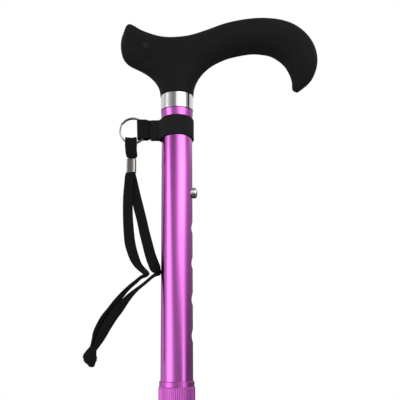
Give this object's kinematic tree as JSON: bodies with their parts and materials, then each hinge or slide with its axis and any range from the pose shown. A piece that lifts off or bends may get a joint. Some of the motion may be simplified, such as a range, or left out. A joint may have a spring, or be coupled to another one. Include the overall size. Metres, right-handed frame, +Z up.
{
  "type": "adjustable walking stick",
  "caption": "Walking stick with a derby handle, telescopic aluminium shaft set by a snap button and lock nut, rubber ferrule, and a wrist cord on a split ring.",
  "frame": {"origin": "centre of the ferrule's ground face, with the stick upright", "axes": "+Z up the shaft, +X along the handle's long arm and out of the snap button, -X towards the wrist cord"},
  "size_m": [0.1709, 0.036, 0.8399],
  "materials": {
    "handle_skin": "matt soft-touch cover",
    "handle_core": "moulded nylon",
    "handle_insert": "turned",
    "handle_stud": "zinc plated",
    "tube_plug": "moulded nylon",
    "collar": "polished",
    "upper_tube": "purple anodised, bright",
    "lower_tube": "purple anodised, bright",
    "glide_bush": "moulded acetal",
    "snap_button": "bright nickel",
    "button_spring": "spring steel strip",
    "lock_nut": "purple anodised, fluted",
    "clamp_ring": "moulded acetal",
    "ferrule": "matt moulded rubber",
    "ferrule_washer": "zinc plated",
    "strap_band": "ribbed woven elastic",
    "strap_tab": "woven webbing, sewn",
    "split_ring": "nickel plated",
    "cord_loop": "flat woven cord",
    "cord_crimp": "nickel plated",
    "strand_left": "flat woven cord",
    "strand_right": "flat woven cord",
    "cord_knot": "flat woven cord, knotted"
  },
  "bodies": {
    "upper_shaft": {"handle_skin": "handle_skin", "handle_core": "handle_core", "handle_insert": "handle_insert", "handle_stud": "handle_stud", "tube_plug": "tube_plug", "collar": "collar", "upper_tube": "upper_tube"},
    "lower_shaft": {"lower_tube": "lower_tube", "glide_bush": "glide_bush", "button_spring": "button_spring", "ferrule": "ferrule", "ferrule_washer": "ferrule_washer"},
    "button": {"snap_button": "snap_button"},
    "clamp": {"clamp_ring": "clamp_ring"},
    "nut": {"lock_nut": "lock_nut"},
    "strap_mount": {"strap_band": "strap_band", "strap_tab": "strap_tab"},
    "ring": {"split_ring": "split_ring"},
    "wrist_cord": {"cord_loop": "cord_loop", "cord_crimp": "cord_crimp", "strand_left": "strand_left", "strand_right": "strand_right", "cord_knot": "cord_knot"}
  },
  "joints": [
    {"name": "length_slide", "type": "slide", "parent": "upper_shaft", "child": "lower_shaft", "axis": [0, 0, -1], "range_m": [0, 0.1016], "deforming": ["snap_button", "button_spring"]},
    {"name": "button_press", "type": "slide", "parent": "lower_shaft", "child": "button", "axis": [-1, 0, 0], "range_m": [0, 0.0052], "stiffness_N_per_m": 2500, "deforming": ["button_spring"]},
    {"name": "clamp_travel", "type": "slide", "parent": "upper_shaft", "child": "clamp", "axis": [0, 0, -1], "range_m": [0, 0.0023]},
    {"name": "lock_nut_turn", "type": "hinge", "parent": "clamp", "child": "nut", "pos_m": [0, 0, 0.5711], "axis": [0, 0, -1], "range_deg": [0, 540]},
    {"name": "strap_turn", "type": "hinge", "parent": "upper_shaft", "child": "strap_mount", "pos_m": [0, 0, 0.7527], "axis": [0, 0, 1], "continuous": true},
    {"name": "ring_swing", "type": "hinge", "parent": "strap_mount", "child": "ring", "pos_m": [-0.0255, 0, 0.7512], "axis": [0, 0, 1], "range_deg": [-25, 25]},
    {"name": "strap_swing", "type": "hinge", "parent": "ring", "child": "wrist_cord", "pos_m": [-0.03277, 0, 0.74165], "axis": [1, 0, 0], "range_deg": [-75, 75]}
  ],
  "couplings": [
    {"joint": "clamp_travel", "follows": "lock_nut_turn", "m_per_rad": 0.00023873}
  ]
}
